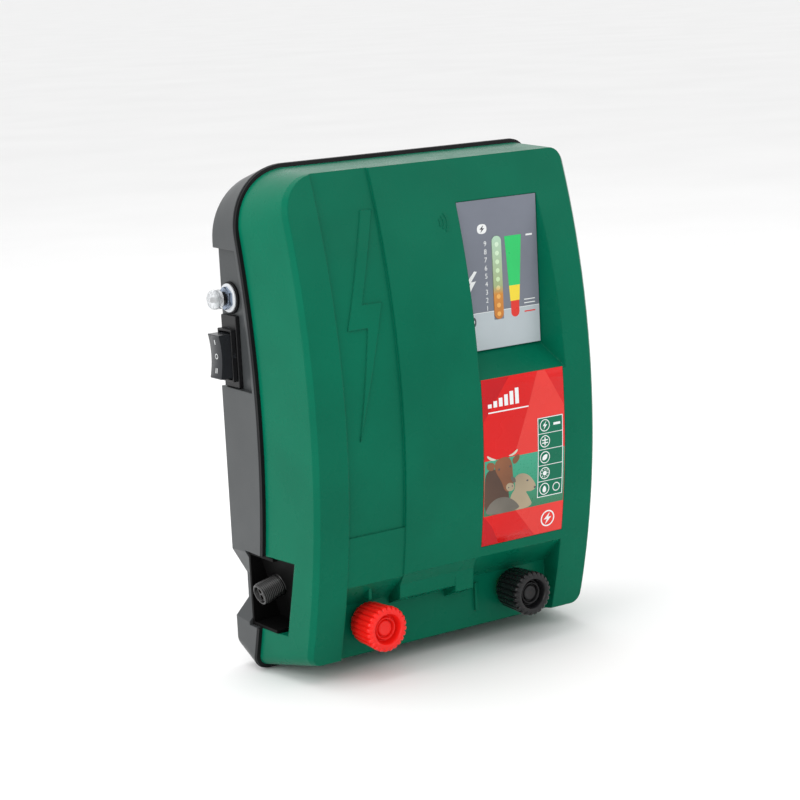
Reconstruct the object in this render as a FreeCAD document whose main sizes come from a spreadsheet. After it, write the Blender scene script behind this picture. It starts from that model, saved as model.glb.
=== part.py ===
"""Mains fence energizer: wall case, fence and earth terminals, level display, switch and test button.

Millimetres. +X is to the right seen from the front, +Y towards the wall and +Z up.
The origin is the centre of the flat back of the case, in the plane of the wall.
"""
import FreeCAD, Part
import math
import os
import re

import Sketcher
from FreeCAD import Placement, Rotation, Vector

SIZES = {
    # Case outline: half widths and the heights of the lower and upper edges
    "wall": 2.8,
    "rim_half": 112.0,
    "rim_low": -155.0,
    "rim_high": 155.0,
    "back_half": 111.0,
    "back_low": -145.5,
    "back_high": 148.5,
    "cover_step": 2.3,
    "front_half": 105.2,
    "front_low": -143.0,
    "front_high": 152.0,
    "edge_bevel": 3.0,
    "corner_big_back": 38.0,
    "corner_big_rim": 42.0,
    "corner_big_front": 28.0,
    "corner_small": 9.0,
    # Depths of the curved joint and the curved front at the bottom, middle and top
    "seam_bottom": 19.9,
    "seam_middle": 42.6,
    "seam_top": 18.9,
    "front_bottom": 69.7,
    "front_middle": 94.1,
    "front_top": 67.5,
    "gasket_half_thickness": 1.2,
    "gasket_width": 7.0,
    # Recessed strip on the left of the front
    "strip_left": -82.0,
    "strip_right": -41.0,
    "strip_end": -64.0,
    "strip_depth": 2.0,
    "strip_low_depth": 1.0,
    "relief": 0.9,
    # Terminal bay below the front panel
    "bay_left": -82.0,
    "bay_right": 80.0,
    "bay_top": -94.0,
    "bay_floor": 67.0,
    "bay_roof_end": -112.0,
    "block_left": -41.0,
    "block_right": 0.6,
    "block_face": 80.5,
    "block_bevel_end": -102.0,
    "block_end": -111.0,
    "tab_right": 14.5,
    # Display and label
    "display_left": 16.0,
    "display_right": 77.0,
    "display_bottom": 32.5,
    "display_top": 126.0,
    "display_face": 76.7,
    "display_thickness": 2.0,
    "label_left": 17.0,
    "label_right": 80.0,
    "label_bottom": -88.0,
    "label_top": 18.0,
    "label_thickness": 0.4,
    "bar_x": 45.2,
    "bar_width": 7.2,
    "bar_bottom": 50.7,
    "bar_top": 102.6,
    # Switch recess in the left side of the rear housing
    "recess_floor": 107.0,
    "recess_top": 107.0,
    "recess_bottom": 22.0,
    "flange": 2.6,
    "switch_y": -11.5,
    "switch_z": 42.5,
    "pivot_height": 4.75,
    "pivot_radius": 1.2,
    "button_z": 77.0,
    "button_y": -12.0,
    # Cable bay at the lower left
    "cable_bay_top": -79.0,
    "cable_bay_bottom": -126.5,
    "cable_bay_back": 17.0,
    "cable_bay_front_top": 67.0,
    "cable_bay_front_bottom": 55.0,
    "socket_x": -97.5,
    "socket_y": -31.5,
    "socket_z": -100.3,
    "socket_tilt": 16.3,
    "socket_radius": 7.2,
    "socket_length": 15.0,
    # Terminals
    "terminal_z": -123.5,
    "fence_x": -60.0,
    "earth_x": 50.4,
    "stud_radius": 3.0,
    "knob_rear_radius": 13.0,
    "knob_front_radius": 14.4,
    "knob_rear": 71.0,
    "knob_length": 23.3,
    "running_clearance": 0.06,
    # Inside
    "board_y": -13.6,
    "board_thickness": 1.6,
    "screw_radius": 2.0,
    "boss_radius": 5.5,
    "hanger_x": 70.0,
    "hanger_z": 90.0,
}

doc = FreeCAD.newDocument("fence_energizer")
sheet = doc.addObject("Spreadsheet::Sheet", "Sizes")
SUB_PARTS = []


def fill_sheet():
    """Write each driving dimension into the sheet, with its name as the cell's alias."""
    for row, (name, number) in enumerate(SIZES.items(), start=1):
        sheet.set(f"A{row}", name)
        sheet.set(f"B{row}", str(number))
        sheet.setAlias(f"B{row}", name)
    doc.recompute()


def size(name):
    """Return a driving dimension from the sheet."""
    return float(sheet.get(name))


def linked(expression):
    """Turn the names of driving dimensions in an expression into references to the sheet."""
    return re.sub(r"[A-Za-z_]\w*", lambda word: "Sizes." + word[0] if word[0] in SIZES else word[0],
                  str(expression))


def bind(item, **properties):
    """Bind properties of an object to expressions of driving dimensions."""
    for name, expression in properties.items():
        item.setExpression(name.replace("__", "."), linked(expression))


def at(item, position):
    """Bind the position of an object to three expressions."""
    for axis, expression in zip("xyz", position):
        item.setExpression("Placement.Base." + axis, linked(expression))
    return item


def node(label, item):
    """Register an object of the document as a finished piece of the energizer."""
    item.Label = label
    SUB_PARTS.append(item)
    return item


# ---------------------------------------------------------------- primitives and booleans

AXES = {"+x": Rotation(Vector(0, 1, 0), 90), "-x": Rotation(Vector(0, 1, 0), -90),
        "+y": Rotation(Vector(1, 0, 0), -90), "-y": Rotation(Vector(1, 0, 0), 90),
        "+z": Rotation(), "-z": Rotation(Vector(1, 0, 0), 180)}


def box(low, high, name="block"):
    """A box between two corners, each given by three expressions."""
    item = doc.addObject("Part::Box", name)
    spans = [f"({b}) - ({a})" for a, b in zip(low, high)]
    bind(item, Length=spans[0], Width=spans[1], Height=spans[2])
    return at(item, low)


def cylinder(radius, length, start, axis, name="rod"):
    """A cylinder that starts at a point and runs along a row axis."""
    item = doc.addObject("Part::Cylinder", name)
    item.Placement = Placement(Vector(), AXES[axis])
    bind(item, Radius=radius, Height=length)
    return at(item, start)


def fuse(items, name="joined"):
    """One solid made of several that touch."""
    item = doc.addObject("Part::MultiFuse", name)
    item.Shapes = items
    return item


def common(items, name="overlap"):
    """The volume that all the given objects share."""
    item = doc.addObject("Part::MultiCommon", name)
    item.Shapes = items
    return item


def cut(base, tools, name="cut"):
    """The base without the volume of the tools."""
    item = doc.addObject("Part::Cut", name)
    item.Base = base
    item.Tool = tools[0] if len(tools) == 1 else fuse(tools, name + "_tools")
    return item


def group(items, name="set"):
    """Separate solids kept together as one piece of the parts list."""
    item = doc.addObject("Part::Compound", name)
    item.Links = items
    return item


def plain(shape, name="form"):
    """An object that holds a shape made with Part's own functions."""
    item = doc.addObject("Part::Feature", name)
    item.Shape = shape
    return item


def prism(points, along, start, length, name="prism"):
    """A closed outline pushed along an axis; the outline lies in the plane across that axis."""
    corners = {"x": lambda a, b: Vector(start, a, b), "y": lambda a, b: Vector(a, start, b),
               "z": lambda a, b: Vector(a, b, start)}
    outline = [corners[along](*point) for point in points]
    push = {"x": Vector(length, 0, 0), "y": Vector(0, length, 0), "z": Vector(0, 0, length)}
    face = polygon_face(outline)
    return plain(face.extrude(push[along]), name)


# ---------------------------------------------------------------- PartDesign bodies

def origin_plane(body, role):
    """Return one of a body's own origin planes."""
    return next(item for item in body.Origin.OriginFeatures if item.Role == role)


def new_sketch(body, role, name):
    """A sketch on one of the body's own origin planes."""
    sketch = body.newObject("Sketcher::SketchObject", name)
    sketch.AttachmentSupport = [(origin_plane(body, role), "")]
    sketch.MapMode = "FlatFace"
    return sketch


def draw_outline(sketch, points):
    """Draw a closed outline whose corners are bound to pairs of expressions."""
    count = len(points)
    for index in range(count):
        angle, following = 2 * math.pi * index / count, 2 * math.pi * (index + 1) / count
        start = Vector(20 * math.cos(angle), 20 * math.sin(angle), 0)
        end = Vector(20 * math.cos(following), 20 * math.sin(following), 0)
        sketch.addGeometry(Part.LineSegment(start, end), False)
    for index in range(count):
        sketch.addConstraint(Sketcher.Constraint("Coincident", index, 2, (index + 1) % count, 1))
    for index, (across, up) in enumerate(points):
        for kind, expression in (("DistanceX", across), ("DistanceY", up)):
            number = sketch.addConstraint(Sketcher.Constraint(kind, -1, 1, index, 1, 1.0))
            sketch.setExpression(f"Constraints[{number}]", linked(expression))


def draw_circle(sketch, radius, across="0", up="0"):
    """Draw a circle whose centre and radius are bound to expressions."""
    index = sketch.addGeometry(Part.Circle(Vector(1, 1, 0), Vector(0, 0, 1), 1.0), False)
    for kind, expression in (("DistanceX", across), ("DistanceY", up)):
        number = sketch.addConstraint(Sketcher.Constraint(kind, -1, 1, index, 3, 1.0))
        sketch.setExpression(f"Constraints[{number}]", linked(expression))
    number = sketch.addConstraint(Sketcher.Constraint("Radius", index, 1.0))
    sketch.setExpression(f"Constraints[{number}]", linked(radius))


def turned_body(name, points):
    """A body turned about its Z axis from a half section of (radius, height) corners."""
    body = doc.addObject("PartDesign::Body", name)
    sketch = new_sketch(body, "XZ_Plane", name + "_section")
    draw_outline(sketch, points)
    turned = body.newObject("PartDesign::Revolution", name + "_turned")
    turned.Profile = sketch
    turned.ReferenceAxis = (sketch, ["V_Axis"])
    turned.Angle = 360.0
    body.Tip = turned
    doc.recompute()
    return body


def plate_body(name, outline, thickness, holes=()):
    """A body padded up from its XY plane, with round holes of (radius, x, y) through it."""
    body = doc.addObject("PartDesign::Body", name)
    sketch = new_sketch(body, "XY_Plane", name + "_outline")
    draw_outline(sketch, outline)
    pad = body.newObject("PartDesign::Pad", name + "_pad")
    pad.Profile = sketch
    bind(pad, Length=thickness)
    doc.recompute()
    if holes:
        drilled = new_sketch(body, "XY_Plane", name + "_holes")
        for radius, across, up in holes:
            draw_circle(drilled, radius, across, up)
        pocket = body.newObject("PartDesign::Pocket", name + "_drilled")
        pocket.Profile = drilled
        pocket.Type = "ThroughAll"
        pocket.Midplane = True
        doc.recompute()
        if pocket.Shape.Volume >= pad.Shape.Volume:
            raise RuntimeError(name + ": its holes cut nothing")
        body.Tip = pocket
    return body


def stand(item, position, axis):
    """Turn an object's own Z axis to a row axis and bind its position."""
    item.Placement = Placement(Vector(), AXES[axis])
    return at(item, position)


# ---------------------------------------------------------------- curved case forms

class Depth:
    """Depth of a case face over its height: an arc through three depths, or the flat back."""

    def __init__(self, name=None, forward=0.0):
        self.name, self.flat = name, name is None
        self.forward = forward
        if not self.flat:
            arc = Part.Arc(Vector(0, -size(name + "_bottom"), size("rim_low")),
                           Vector(0, -size(name + "_middle"), 0),
                           Vector(0, -size(name + "_top"), size("rim_high"))).toShape().Curve
            self.centre, self.radius = arc.Center, arc.Radius

    def moved(self, forward):
        """The same face, moved forward."""
        return Depth(self.name, self.forward + forward)

    def y(self, z):
        if self.flat:
            return -self.forward
        reach = math.sqrt(self.radius ** 2 - (z - self.centre.z) ** 2)
        return self.centre.y - reach - self.forward

    def edge(self, x, low, high):
        ends = [Vector(x, self.y(z), z) for z in (low, (low + high) / 2, high)]
        curve = Part.LineSegment(ends[0], ends[2]) if self.flat else Part.Arc(*ends)
        return curve.toShape()


class Outline:
    """Half width, lower and upper edge of the case at one depth, with its four corner radii."""

    def __init__(self, half, low, high, big_corner, small_corner):
        self.half, self.low, self.high = half, low, high
        self.big, self.small = big_corner, small_corner

    def inset(self, amount):
        return Outline(self.half - amount, self.low + amount, self.high - amount,
                       self.big - amount, max(self.small - amount, 2.0))

    def beyond(self, other, share):
        """The outline a share of the way further from another outline than this one is."""
        names = ("half", "low", "high", "big", "small")
        mine, theirs = ([getattr(item, name) for name in names] for item in (self, other))
        return Outline(*[a + (a - b) * share for a, b in zip(mine, theirs)])


def corner_edge(solid, rear, front):
    """The edge of a solid between two given corner points."""
    for edge in solid.Edges:
        ends = [vertex.Point for vertex in edge.Vertexes]
        if len(ends) == 2:
            for first, last in (ends, ends[::-1]):
                if first.distanceToPoint(rear) < 0.01 and last.distanceToPoint(front) < 0.01:
                    return edge
    raise RuntimeError("corner edge not found")


def closed(faces):
    """Sew faces into one solid that is turned the right way out."""
    shell = Part.Shell(faces)
    shell.sewShape()
    return outward(Part.Solid(shell))


def outward(solid):
    """Return the solid with its faces turned outwards."""
    if solid.Volume < 0:
        solid.reverse()
    return solid


def polygon_face(corners):
    """The flat face inside a closed run of corners."""
    return Part.Face(Part.makePolygon(corners + corners[:1]))


def ruled_block(rear_depth, rear, front_depth, front):
    """A solid with sharp corners between two faces, curved or flat, of different outline."""
    edges, ends = [], []
    for depth, outline in ((rear_depth, rear), (front_depth, front)):
        edges.append([depth.edge(side * outline.half, outline.low, outline.high) for side in (-1, 1)])
        ends.append([[Vector(side * outline.half, depth.y(z), z) for side in (-1, 1)]
                     for z in (outline.low, outline.high)])
    faces = [Part.makeRuledSurface(edges[0][side], edges[1][side]) for side in (0, 1)]
    faces += [polygon_face(ends[0][level] + ends[1][level][::-1]) for level in (0, 1)]
    for depth, pair, corners in zip((rear_depth, front_depth), edges, ends):
        flat = polygon_face(corners[0] + corners[1][::-1]) if depth.flat else None
        faces.append(flat or Part.makeRuledSurface(*pair))
    return closed(faces)


def case_form(rear_depth, rear, front_depth, front):
    """A solid between two curved faces, with its four corners rounded.

    The rounding is made on a longer block, which the two curved faces then trim.
    """
    share = 0.5
    reach = (rear_depth.y(rear.low) - front_depth.y(front.low)) * share
    far_rear, far_front = rear.beyond(front, share), front.beyond(rear, share)
    behind, ahead = rear_depth.moved(-reach), front_depth.moved(reach)
    solid = ruled_block(behind, far_rear, ahead, far_front)
    for side, upper in ((-1, True), (1, True), (-1, False), (1, False)):
        rear_z, front_z = (far_rear.high, far_front.high) if upper else (far_rear.low, far_front.low)
        rear_point = Vector(side * far_rear.half, behind.y(rear_z), rear_z)
        front_point = Vector(side * far_front.half, ahead.y(front_z), front_z)
        edge = corner_edge(solid, rear_point, front_point)
        big = side < 0 and upper
        radii = (far_rear.big, far_front.big) if big else (far_rear.small, far_front.small)
        starts_at_rear = edge.Vertexes[0].Point.distanceToPoint(rear_point) < 0.01
        solid = solid.makeFillet(*(radii if starts_at_rear else radii[::-1]), [edge])
    solid.fix(0.01, 0.01, 0.01)
    wide = Outline(size("rim_half") + 40, size("rim_low") - 20, size("rim_high") + 20, 0, 0)
    return outward(solid).common(ruled_block(rear_depth, wide, front_depth, wide)).Solids[0]


def front_face(solid):
    """The face of a solid that lies furthest forward."""
    return min(solid.Faces, key=lambda face: face.CenterOfMass.y)


def bevelled_nose(body, smaller):
    """The bevelled rim between the front faces of two forms, closed into a solid."""
    rear, front = front_face(body), front_face(smaller)
    rim = Part.makeLoft([rear.OuterWire, front.OuterWire], False, True)
    return closed(rim.Faces + [rear, front])


def front_band(low, high, left, right, bottom, top, name):
    """A slice of the curved front between two distances from its face, cut to a rectangle."""
    inner, outer = Depth("front", low), Depth("front", high)
    sides = [[band.edge(x, bottom, top) for x in (left, right)] for band in (inner, outer)]
    faces = [Part.makeRuledSurface(*sides[0]), Part.makeRuledSurface(*sides[1]),
             Part.makeRuledSurface(sides[0][0], sides[1][0]), Part.makeRuledSurface(sides[0][1], sides[1][1])]
    for z in (bottom, top):
        corners = [Vector(left, inner.y(z), z), Vector(right, inner.y(z), z),
                   Vector(right, outer.y(z), z), Vector(left, outer.y(z), z)]
        faces.append(polygon_face(corners))
    return plain(closed(faces), name)


def outlines():
    """The case outlines at the back, at the joint and at the front face."""
    corner = size("corner_small")
    back = Outline(size("back_half"), size("back_low"), size("back_high"),
                   size("corner_big_back"), corner - 1)
    rim = Outline(size("rim_half"), size("rim_low"), size("rim_high"), size("corner_big_rim"), corner + 1)
    edge = Outline(size("front_half"), size("front_low") - 0.6, size("front_high"),
                   size("corner_big_front"), corner)
    bevel = size("edge_bevel")
    face = Outline(edge.half - bevel, size("front_low"), edge.high - 0.2, edge.big - bevel / 2, corner - 1)
    return back, rim, edge, face


# ---------------------------------------------------------------- the bays cut into the case

def bay_profile(extra):
    """Side outline of the terminal bay, grown into the case by a wall thickness."""
    floor = -size("bay_floor") + extra
    roof = size("bay_top") + extra
    mouth = -size("front_middle") - 20
    return [(mouth, size("rim_low") - 5), (floor, size("rim_low") - 5),
            (floor, size("bay_roof_end") + extra), (-86.0 + extra, roof), (mouth, roof)]


def bay_tool(extra, name):
    """The space of the terminal bay; extra grows it on every side."""
    left, right = size("bay_left") - extra, size("bay_right") + extra
    return prism(bay_profile(extra), "x", left, right - left, name)


def display_tool(extra, name):
    """The space in front of the display, with its sloping sill and right side."""
    face = -size("display_face") + size("display_thickness") + extra
    reach = 24.0
    side = [(face, size("display_top") + extra), (face, size("display_bottom") - extra),
            (face - reach, size("display_bottom") - extra - 0.82 * reach),
            (face - reach, size("display_top") + extra)]
    left, right = size("display_left") - extra, size("display_right") + extra
    plan = [(left, face), (right, face), (right + 0.3 * reach, face - reach), (left, face - reach)]
    along = prism(side, "x", left, right - left + reach, name + "_side")
    down = prism(plan, "z", size("display_bottom") - 30, 140, name + "_plan")
    return common([along, down], name)


def cable_bay_profile(grow):
    """Side outline of the cable bay at the lower left."""
    bottom, top = size("cable_bay_bottom") - grow, size("cable_bay_top") + grow
    back = -size("cable_bay_back") + grow
    return [(back, bottom), (-size("cable_bay_front_bottom") - grow, bottom),
            (-size("cable_bay_front_top") - grow, top), (back, top)]


def recess_tool(extra, name):
    """The recess for the switch and the button, below the hood on the left side."""
    flange_depth = Depth("seam", -size("gasket_half_thickness") - size("flange") - extra)
    bottom, top = size("recess_bottom") - extra, size("recess_top") + extra
    face_x, floor_x = -size("rim_half") - 3, -size("recess_floor") + extra
    arc = flange_depth.edge(face_x, bottom, top)
    start, end = Vector(face_x, flange_depth.y(bottom), bottom), Vector(face_x, flange_depth.y(top), top)
    edges = [arc, Part.makeLine(end, Vector(face_x, 3, top)),
             Part.makeLine(Vector(face_x, 3, top), Vector(face_x, 3, bottom)),
             Part.makeLine(Vector(face_x, 3, bottom), start)]
    face = Part.Face(Part.Wire(Part.sortEdges(edges)[0]))
    return plain(face.extrude(Vector(floor_x - face_x, 0, 0)), name)


# ---------------------------------------------------------------- shells

# Case screws and board screws, as (x, z)
SCREW_PLACES = [(-96.0, -58.0), (-52.0, 141.0), (96.0, 138.0), (98.0, 0.0), (96.0, -134.0), (-78.0, -136.0)]
BOARD_SCREWS = [("-68", "-66"), ("82", "-66"), ("-68", "118"), ("82", "118")]


def make_front_cover():
    """Moulded front cover, open at the back, with the bays for the display and the terminals."""
    _back, rim, edge, face = outlines()
    gap = size("gasket_half_thickness")
    seam, bevel = Depth("seam", gap), size("edge_bevel")
    seam_outline = rim.inset(size("cover_step"))
    wall = size("wall")
    body = case_form(seam, seam_outline, Depth("front", -bevel), edge)
    nose = bevelled_nose(body, case_form(seam, face.inset(-8), Depth("front"), face))
    whole = body.fuse(nose)
    outer = plain(whole, "cover_outer")
    inner = plain(case_form(Depth("seam", gap - 1), seam_outline.inset(wall), Depth("front", -wall),
                            face.inset(wall)), "cover_inner")
    cavity = cut(inner, [bay_tool(wall, "bay_inside"), display_tool(wall, "display_inside"),
                         front_strip(wall, "strip_inside"), cable_bay_inside()], "cover_cavity")
    hollow = fuse([cut(outer, [cavity], "cover_hollow"), *cover_posts()], "cover_with_posts")
    shell = cut(hollow, [bay_tool(0, "bay"), display_tool(0, "display_bay"), cable_bay_opening(),
                         front_strip(0, "strip"), label_recess(), display_opening(), stud_holes()],
                "cover_shell")
    extras = [plain(shape, "cover_detail") for shape in cover_details()]
    return node("front_cover", cut(fuse([shell, *extras], "cover_joined"), screw_pilots(), "front_cover"))


def cable_bay_opening():
    """The opening of the cable bay through the left walls of the case."""
    return prism(cable_bay_profile(0), "x", -116, 31, "cable_bay")


def cable_bay_inside():
    """The block that keeps the moulded lip around the cable bay out of the cavity."""
    grow = size("wall") - 0.4
    whole = prism(cable_bay_profile(grow), "x", -116, 23, "cable_bay_lip")
    front_half = box(("-120", "-80", "-140"), ("-85", "-46", "-60"), "lip_range")
    return common([whole, front_half], "cable_bay_inside")


def front_strip(extra, name):
    """The recessed strip on the left of the front, deeper above its step; extra grows it."""
    left, right, step = size("strip_left") - extra, size("strip_right") + extra, size("strip_end") - extra
    upper = front_band(-size("strip_depth") - extra, 8, left, right, step, 170, name + "_upper")
    lower = front_band(-size("strip_low_depth") - extra, 8, left, right, -150, step, name + "_lower")
    return fuse([upper, lower], name)


def label_recess():
    """The shallow recess that the front label is stuck into."""
    gap = 0.3
    return front_band(-size("label_thickness"), 8, size("label_left") - gap, size("label_right") + gap,
                      size("label_bottom") - gap, size("label_top") + gap, "label_recess")


def display_opening():
    """The window behind the display plate, for the light bar and its board."""
    return box(("display_left + 4", "-display_face - 1", "display_bottom + 4"),
               ("display_right - 4", "-display_face + 12", "display_top - 4"), "display_opening")


def stud_holes():
    """The holes of the two terminal studs through the floor of the terminal bay."""
    holes = [cylinder("stud_radius + 0.3", "12", (x, "-bay_floor + 8", "terminal_z"), "-y", "stud_hole")
             for x in ("fence_x", "earth_x")]
    return fuse(holes, "stud_holes")


def terminal_block():
    """The bevelled block between the two terminal bays, with its narrower tab."""
    top, face, floor = size("bay_top") + 1, -size("block_face"), -size("bay_floor") + 1
    front = Depth("front")
    shapes = []
    for left, right, drop in ((size("block_left"), size("block_right"), 0.0),
                              (size("block_right"), size("tab_right"), 4.0)):
        end = size("block_end") - drop
        side = [(floor, top), (front.y(top) + 0.2, top), (front.y(top) + 0.2, top - 1),
                (face, size("block_bevel_end")), (face + 1, end), (floor, end - 6)]
        outline = [Vector(left, y, z) for y, z in side]
        face_shape = polygon_face(outline)
        shapes.append(face_shape.extrude(Vector(right - left, 0, 0)))
    return shapes


def cover_details():
    """Ribs, lips and reliefs that are moulded in one with the front cover."""
    floor = -size("bay_floor")
    slot_rib = Part.makeBox(2.2, 2.4, 18, Vector(23.0, floor - 2.0, -134))
    fin = Part.makeBox(2.0, 13, 16.5, Vector(-63.0, floor - 12.0, -107.5))
    return terminal_block() + [slot_rib, fin, bolt_relief()] + wave_relief()


def bolt_relief():
    """A plain zigzag flash moulded in the recessed strip."""
    flash = [(-52, 128), (-74, 60), (-60, 60), (-72, -6), (-48, 74), (-62, 74), (-44, 128)]
    outline = [Vector(x, -110, z) for x, z in flash]
    block = polygon_face(outline).extrude(Vector(0, 60, 0))
    band = front_band(-size("strip_depth") - 0.5, -size("strip_depth") + size("relief"),
                      size("strip_left") + 1, size("strip_right") - 1, -40, 150, "flash_band")
    return block.common(band.Shape)


def wave_relief():
    """Three concentric arcs of a small radio mark, moulded on the front."""
    band = front_band(-0.5, 0.35, -20, 15, 95, 135, "wave_band").Shape
    shapes = []
    for radius in (3.0, 5.6, 8.2):
        ring = Part.makeCylinder(radius + 0.5, 60, Vector(-1, -60, 115.5), Vector(0, -1, 0))
        ring = ring.cut(Part.makeCylinder(radius - 0.5, 60, Vector(-1, -60, 115.5), Vector(0, -1, 0)))
        wedge = [Vector(-1, -60, 115.5), Vector(13, -60, 127.5), Vector(13, -60, 103.5)]
        sector = polygon_face(wedge).extrude(Vector(0, -60, 0))
        shapes.append(ring.common(sector).common(band))
    return shapes


def cover_posts():
    """Screw posts inside the front cover, one for each case screw, rooted in its wall."""
    seam, front = Depth("seam", size("gasket_half_thickness")), Depth("front", -size("wall") + 0.4)
    posts = []
    for x, z in SCREW_PLACES:
        start, length = seam.y(z), seam.y(z) - front.y(z)
        posts.append(cylinder("boss_radius", f"{length:.3f}", (str(x), f"{start:.3f}", str(z)), "-y",
                              "cover_post"))
    return posts


def screw_pilots():
    """Pilot holes of the case screws in the posts of the front cover."""
    seam = Depth("seam", size("gasket_half_thickness"))
    return [cylinder("screw_radius", "16", (str(x), str(round(seam.y(z) + 1, 3)), str(z)), "-y", "pilot")
            for x, z in SCREW_PLACES]


def make_rear_housing():
    """Moulded rear housing with its hood, the recess for the controls and the cable bay."""
    back, rim, _edge, _face = outlines()
    gap, wall = size("gasket_half_thickness"), size("wall")
    outer = plain(case_form(Depth(), back, Depth("seam", -gap), rim), "housing_outer")
    inner = plain(case_form(Depth(None, wall), back.inset(wall), Depth("seam", 1 - gap), rim.inset(wall)),
                  "housing_inner")
    notch = [(-size("rim_half") - 3, size("cable_bay_top") + 5.4), (-101.4, -98.0), (-101.4, -114.0),
             (-size("rim_half") - 3, size("cable_bay_bottom") - 1.6)]
    notch_wall = [(-size("rim_half") - 3, size("cable_bay_top") + 9), (-98.6, -96.5), (-98.6, -115.5),
                  (-size("rim_half") - 3, size("cable_bay_bottom") - 5)]
    back_notch = prism(notch, "y", -size("cable_bay_back") - 0.4, 30, "back_notch")
    cavity = cut(inner, [recess_tool(wall, "recess_inside"),
                         prism(notch_wall, "y", -size("cable_bay_back") - 1, 30, "notch_inside")],
                 "housing_cavity")
    shell = cut(outer, [cavity, recess_tool(0, "recess"), back_notch, cable_bay_opening()], "housing_shell")
    return node("rear_housing", cut(fuse([shell, *housing_bosses()], "housing_joined"), housing_holes(),
                                    "rear_housing"))


def housing_bosses():
    """Bosses inside the back for the case screws, and the board supports."""
    seam = Depth("seam", -size("gasket_half_thickness"))
    bosses = [cylinder("boss_radius", str(round(-1 - seam.y(z), 3)), (str(x), "-1", str(z)), "-y", "boss")
              for x, z in SCREW_PLACES]
    bosses += [cylinder("3.5", "-board_y - 1", (x, "-1", z), "-y", "board_support")
               for x, z in BOARD_SCREWS]
    return bosses


def housing_holes():
    """Counterbored screw holes, wall hanging slots and the openings for switch and button."""
    holes = []
    seam = Depth("seam", 0)
    for x, z in SCREW_PLACES:
        holes.append(cylinder("screw_radius + 0.3", "60", (str(x), "1", str(z)), "-y", "screw_hole"))
        head_depth = round(-seam.y(z) - 8, 3)
        holes.append(cylinder("3.9", str(head_depth), (str(x), "1", str(z)), "-y", "head_bore"))
    holes += [cylinder("1.95", "8", (x, "board_y + 7", z), "-y", "support_pilot") for x, z in BOARD_SCREWS]
    for side in ("-1", "1"):
        holes.append(cylinder("4.5", "wall + 2", (f"{side} * hanger_x", "1", "hanger_z"), "-y", "hanger_eye"))
        holes.append(box((f"{side} * hanger_x - 2.3", "-wall - 1", "hanger_z"),
                         (f"{side} * hanger_x + 2.3", "1", "hanger_z + 10"), "hanger_slot"))
        holes.append(cylinder("2.3", "wall + 2", (f"{side} * hanger_x", "1", "hanger_z + 10"), "-y",
                              "hanger_end"))
    holes.append(box(("-recess_floor - 1", "switch_y - 6.8", "switch_z - 13.8"),
                     ("-recess_floor + wall + 1", "switch_y + 6.8", "switch_z + 13.8"), "switch_hole"))
    holes.append(cylinder("4.1", "wall + 2", ("-recess_floor - 1", "button_y", "button_z"), "+x",
                          "button_hole"))
    return holes


def make_gasket():
    """Flat black seal between the two shells, standing proud of the front cover all round."""
    _back, rim, _edge, _face = outlines()
    gap = size("gasket_half_thickness")
    wide = rim.inset(-10)
    sheet_form = plain(ruled_block(Depth("seam", -gap), wide, Depth("seam", gap), wide), "gasket_sheet")
    opening = rim.inset(size("gasket_width"))
    outer = plain(case_form(Depth(), rim, Depth("front"), rim), "gasket_outer")
    inner = plain(case_form(Depth(), opening, Depth("front"), opening), "gasket_opening")
    holes = [cylinder("boss_radius + 0.4", "70", (str(x), "0", str(z)), "-y", "gasket_hole")
             for x, z in SCREW_PLACES]
    return node("parting_gasket", cut(common([sheet_form, outer], "gasket_blank"),
                                      [inner, cable_bay_opening(), *holes], "parting_gasket"))


# ---------------------------------------------------------------- display and label

def make_display():
    """Printed display plate, light bar, its lamps and their board."""
    plate = box(("display_left + 0.2", "-display_face", "display_bottom + 0.2"),
                ("display_right - 0.2", "-display_face + display_thickness", "display_top - 0.2"), "plate")
    slot = round_ended("bar_width / 2", "-display_face + 3", "4", "bar_slot")
    node("display_plate", cut(plate, [slot], "display_plate"))
    node("light_bar", round_ended("bar_width / 2 - 0.05", "-display_face + 3.4", "3.7", "light_bar"))
    lamps = [box(("bar_x - 1.6", "-display_face + 3.6", f"bar_bottom + {2.4 + 5.6 * step}"),
                 ("bar_x + 1.6", "-display_face + 5.4", f"bar_bottom + {4.4 + 5.6 * step}"), "lamp")
             for step in range(9)]
    node("bar_lamps", group(lamps, "bar_lamps"))
    board = plate_body("display_board",
                       [("0", "0"), ("display_right - display_left - 9", "0"),
                        ("display_right - display_left - 9", "display_top - display_bottom - 9"),
                        ("0", "display_top - display_bottom - 9")], "1.6",
                       [("1.6", "5", "5"), ("1.6", "display_right - display_left - 14", "5")])
    node("display_board", stand(board, ("display_left + 4.5", "-display_face + 7", "display_bottom + 4.5"),
                                "-y"))


def round_ended(radius, rear, depth, name):
    """An upright bar with half-round ends, on the place of the light bar."""
    block = box((f"bar_x - ({radius})", f"{rear} - ({depth})", "bar_bottom + bar_width / 2"),
                (f"bar_x + ({radius})", rear, "bar_top - bar_width / 2"), name + "_middle")
    ends = [cylinder(radius, depth, ("bar_x", rear, z), "-y", name + "_end")
            for z in ("bar_bottom + bar_width / 2", "bar_top - bar_width / 2")]
    return fuse([block, *ends], name)


def make_label():
    """Stuck-on front label, bent to the curve of the cover."""
    label = front_band(-size("label_thickness"), 0, size("label_left"), size("label_right"),
                       size("label_bottom"), size("label_top"), "front_label")
    node("front_label", label)


# ---------------------------------------------------------------- terminals

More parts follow.
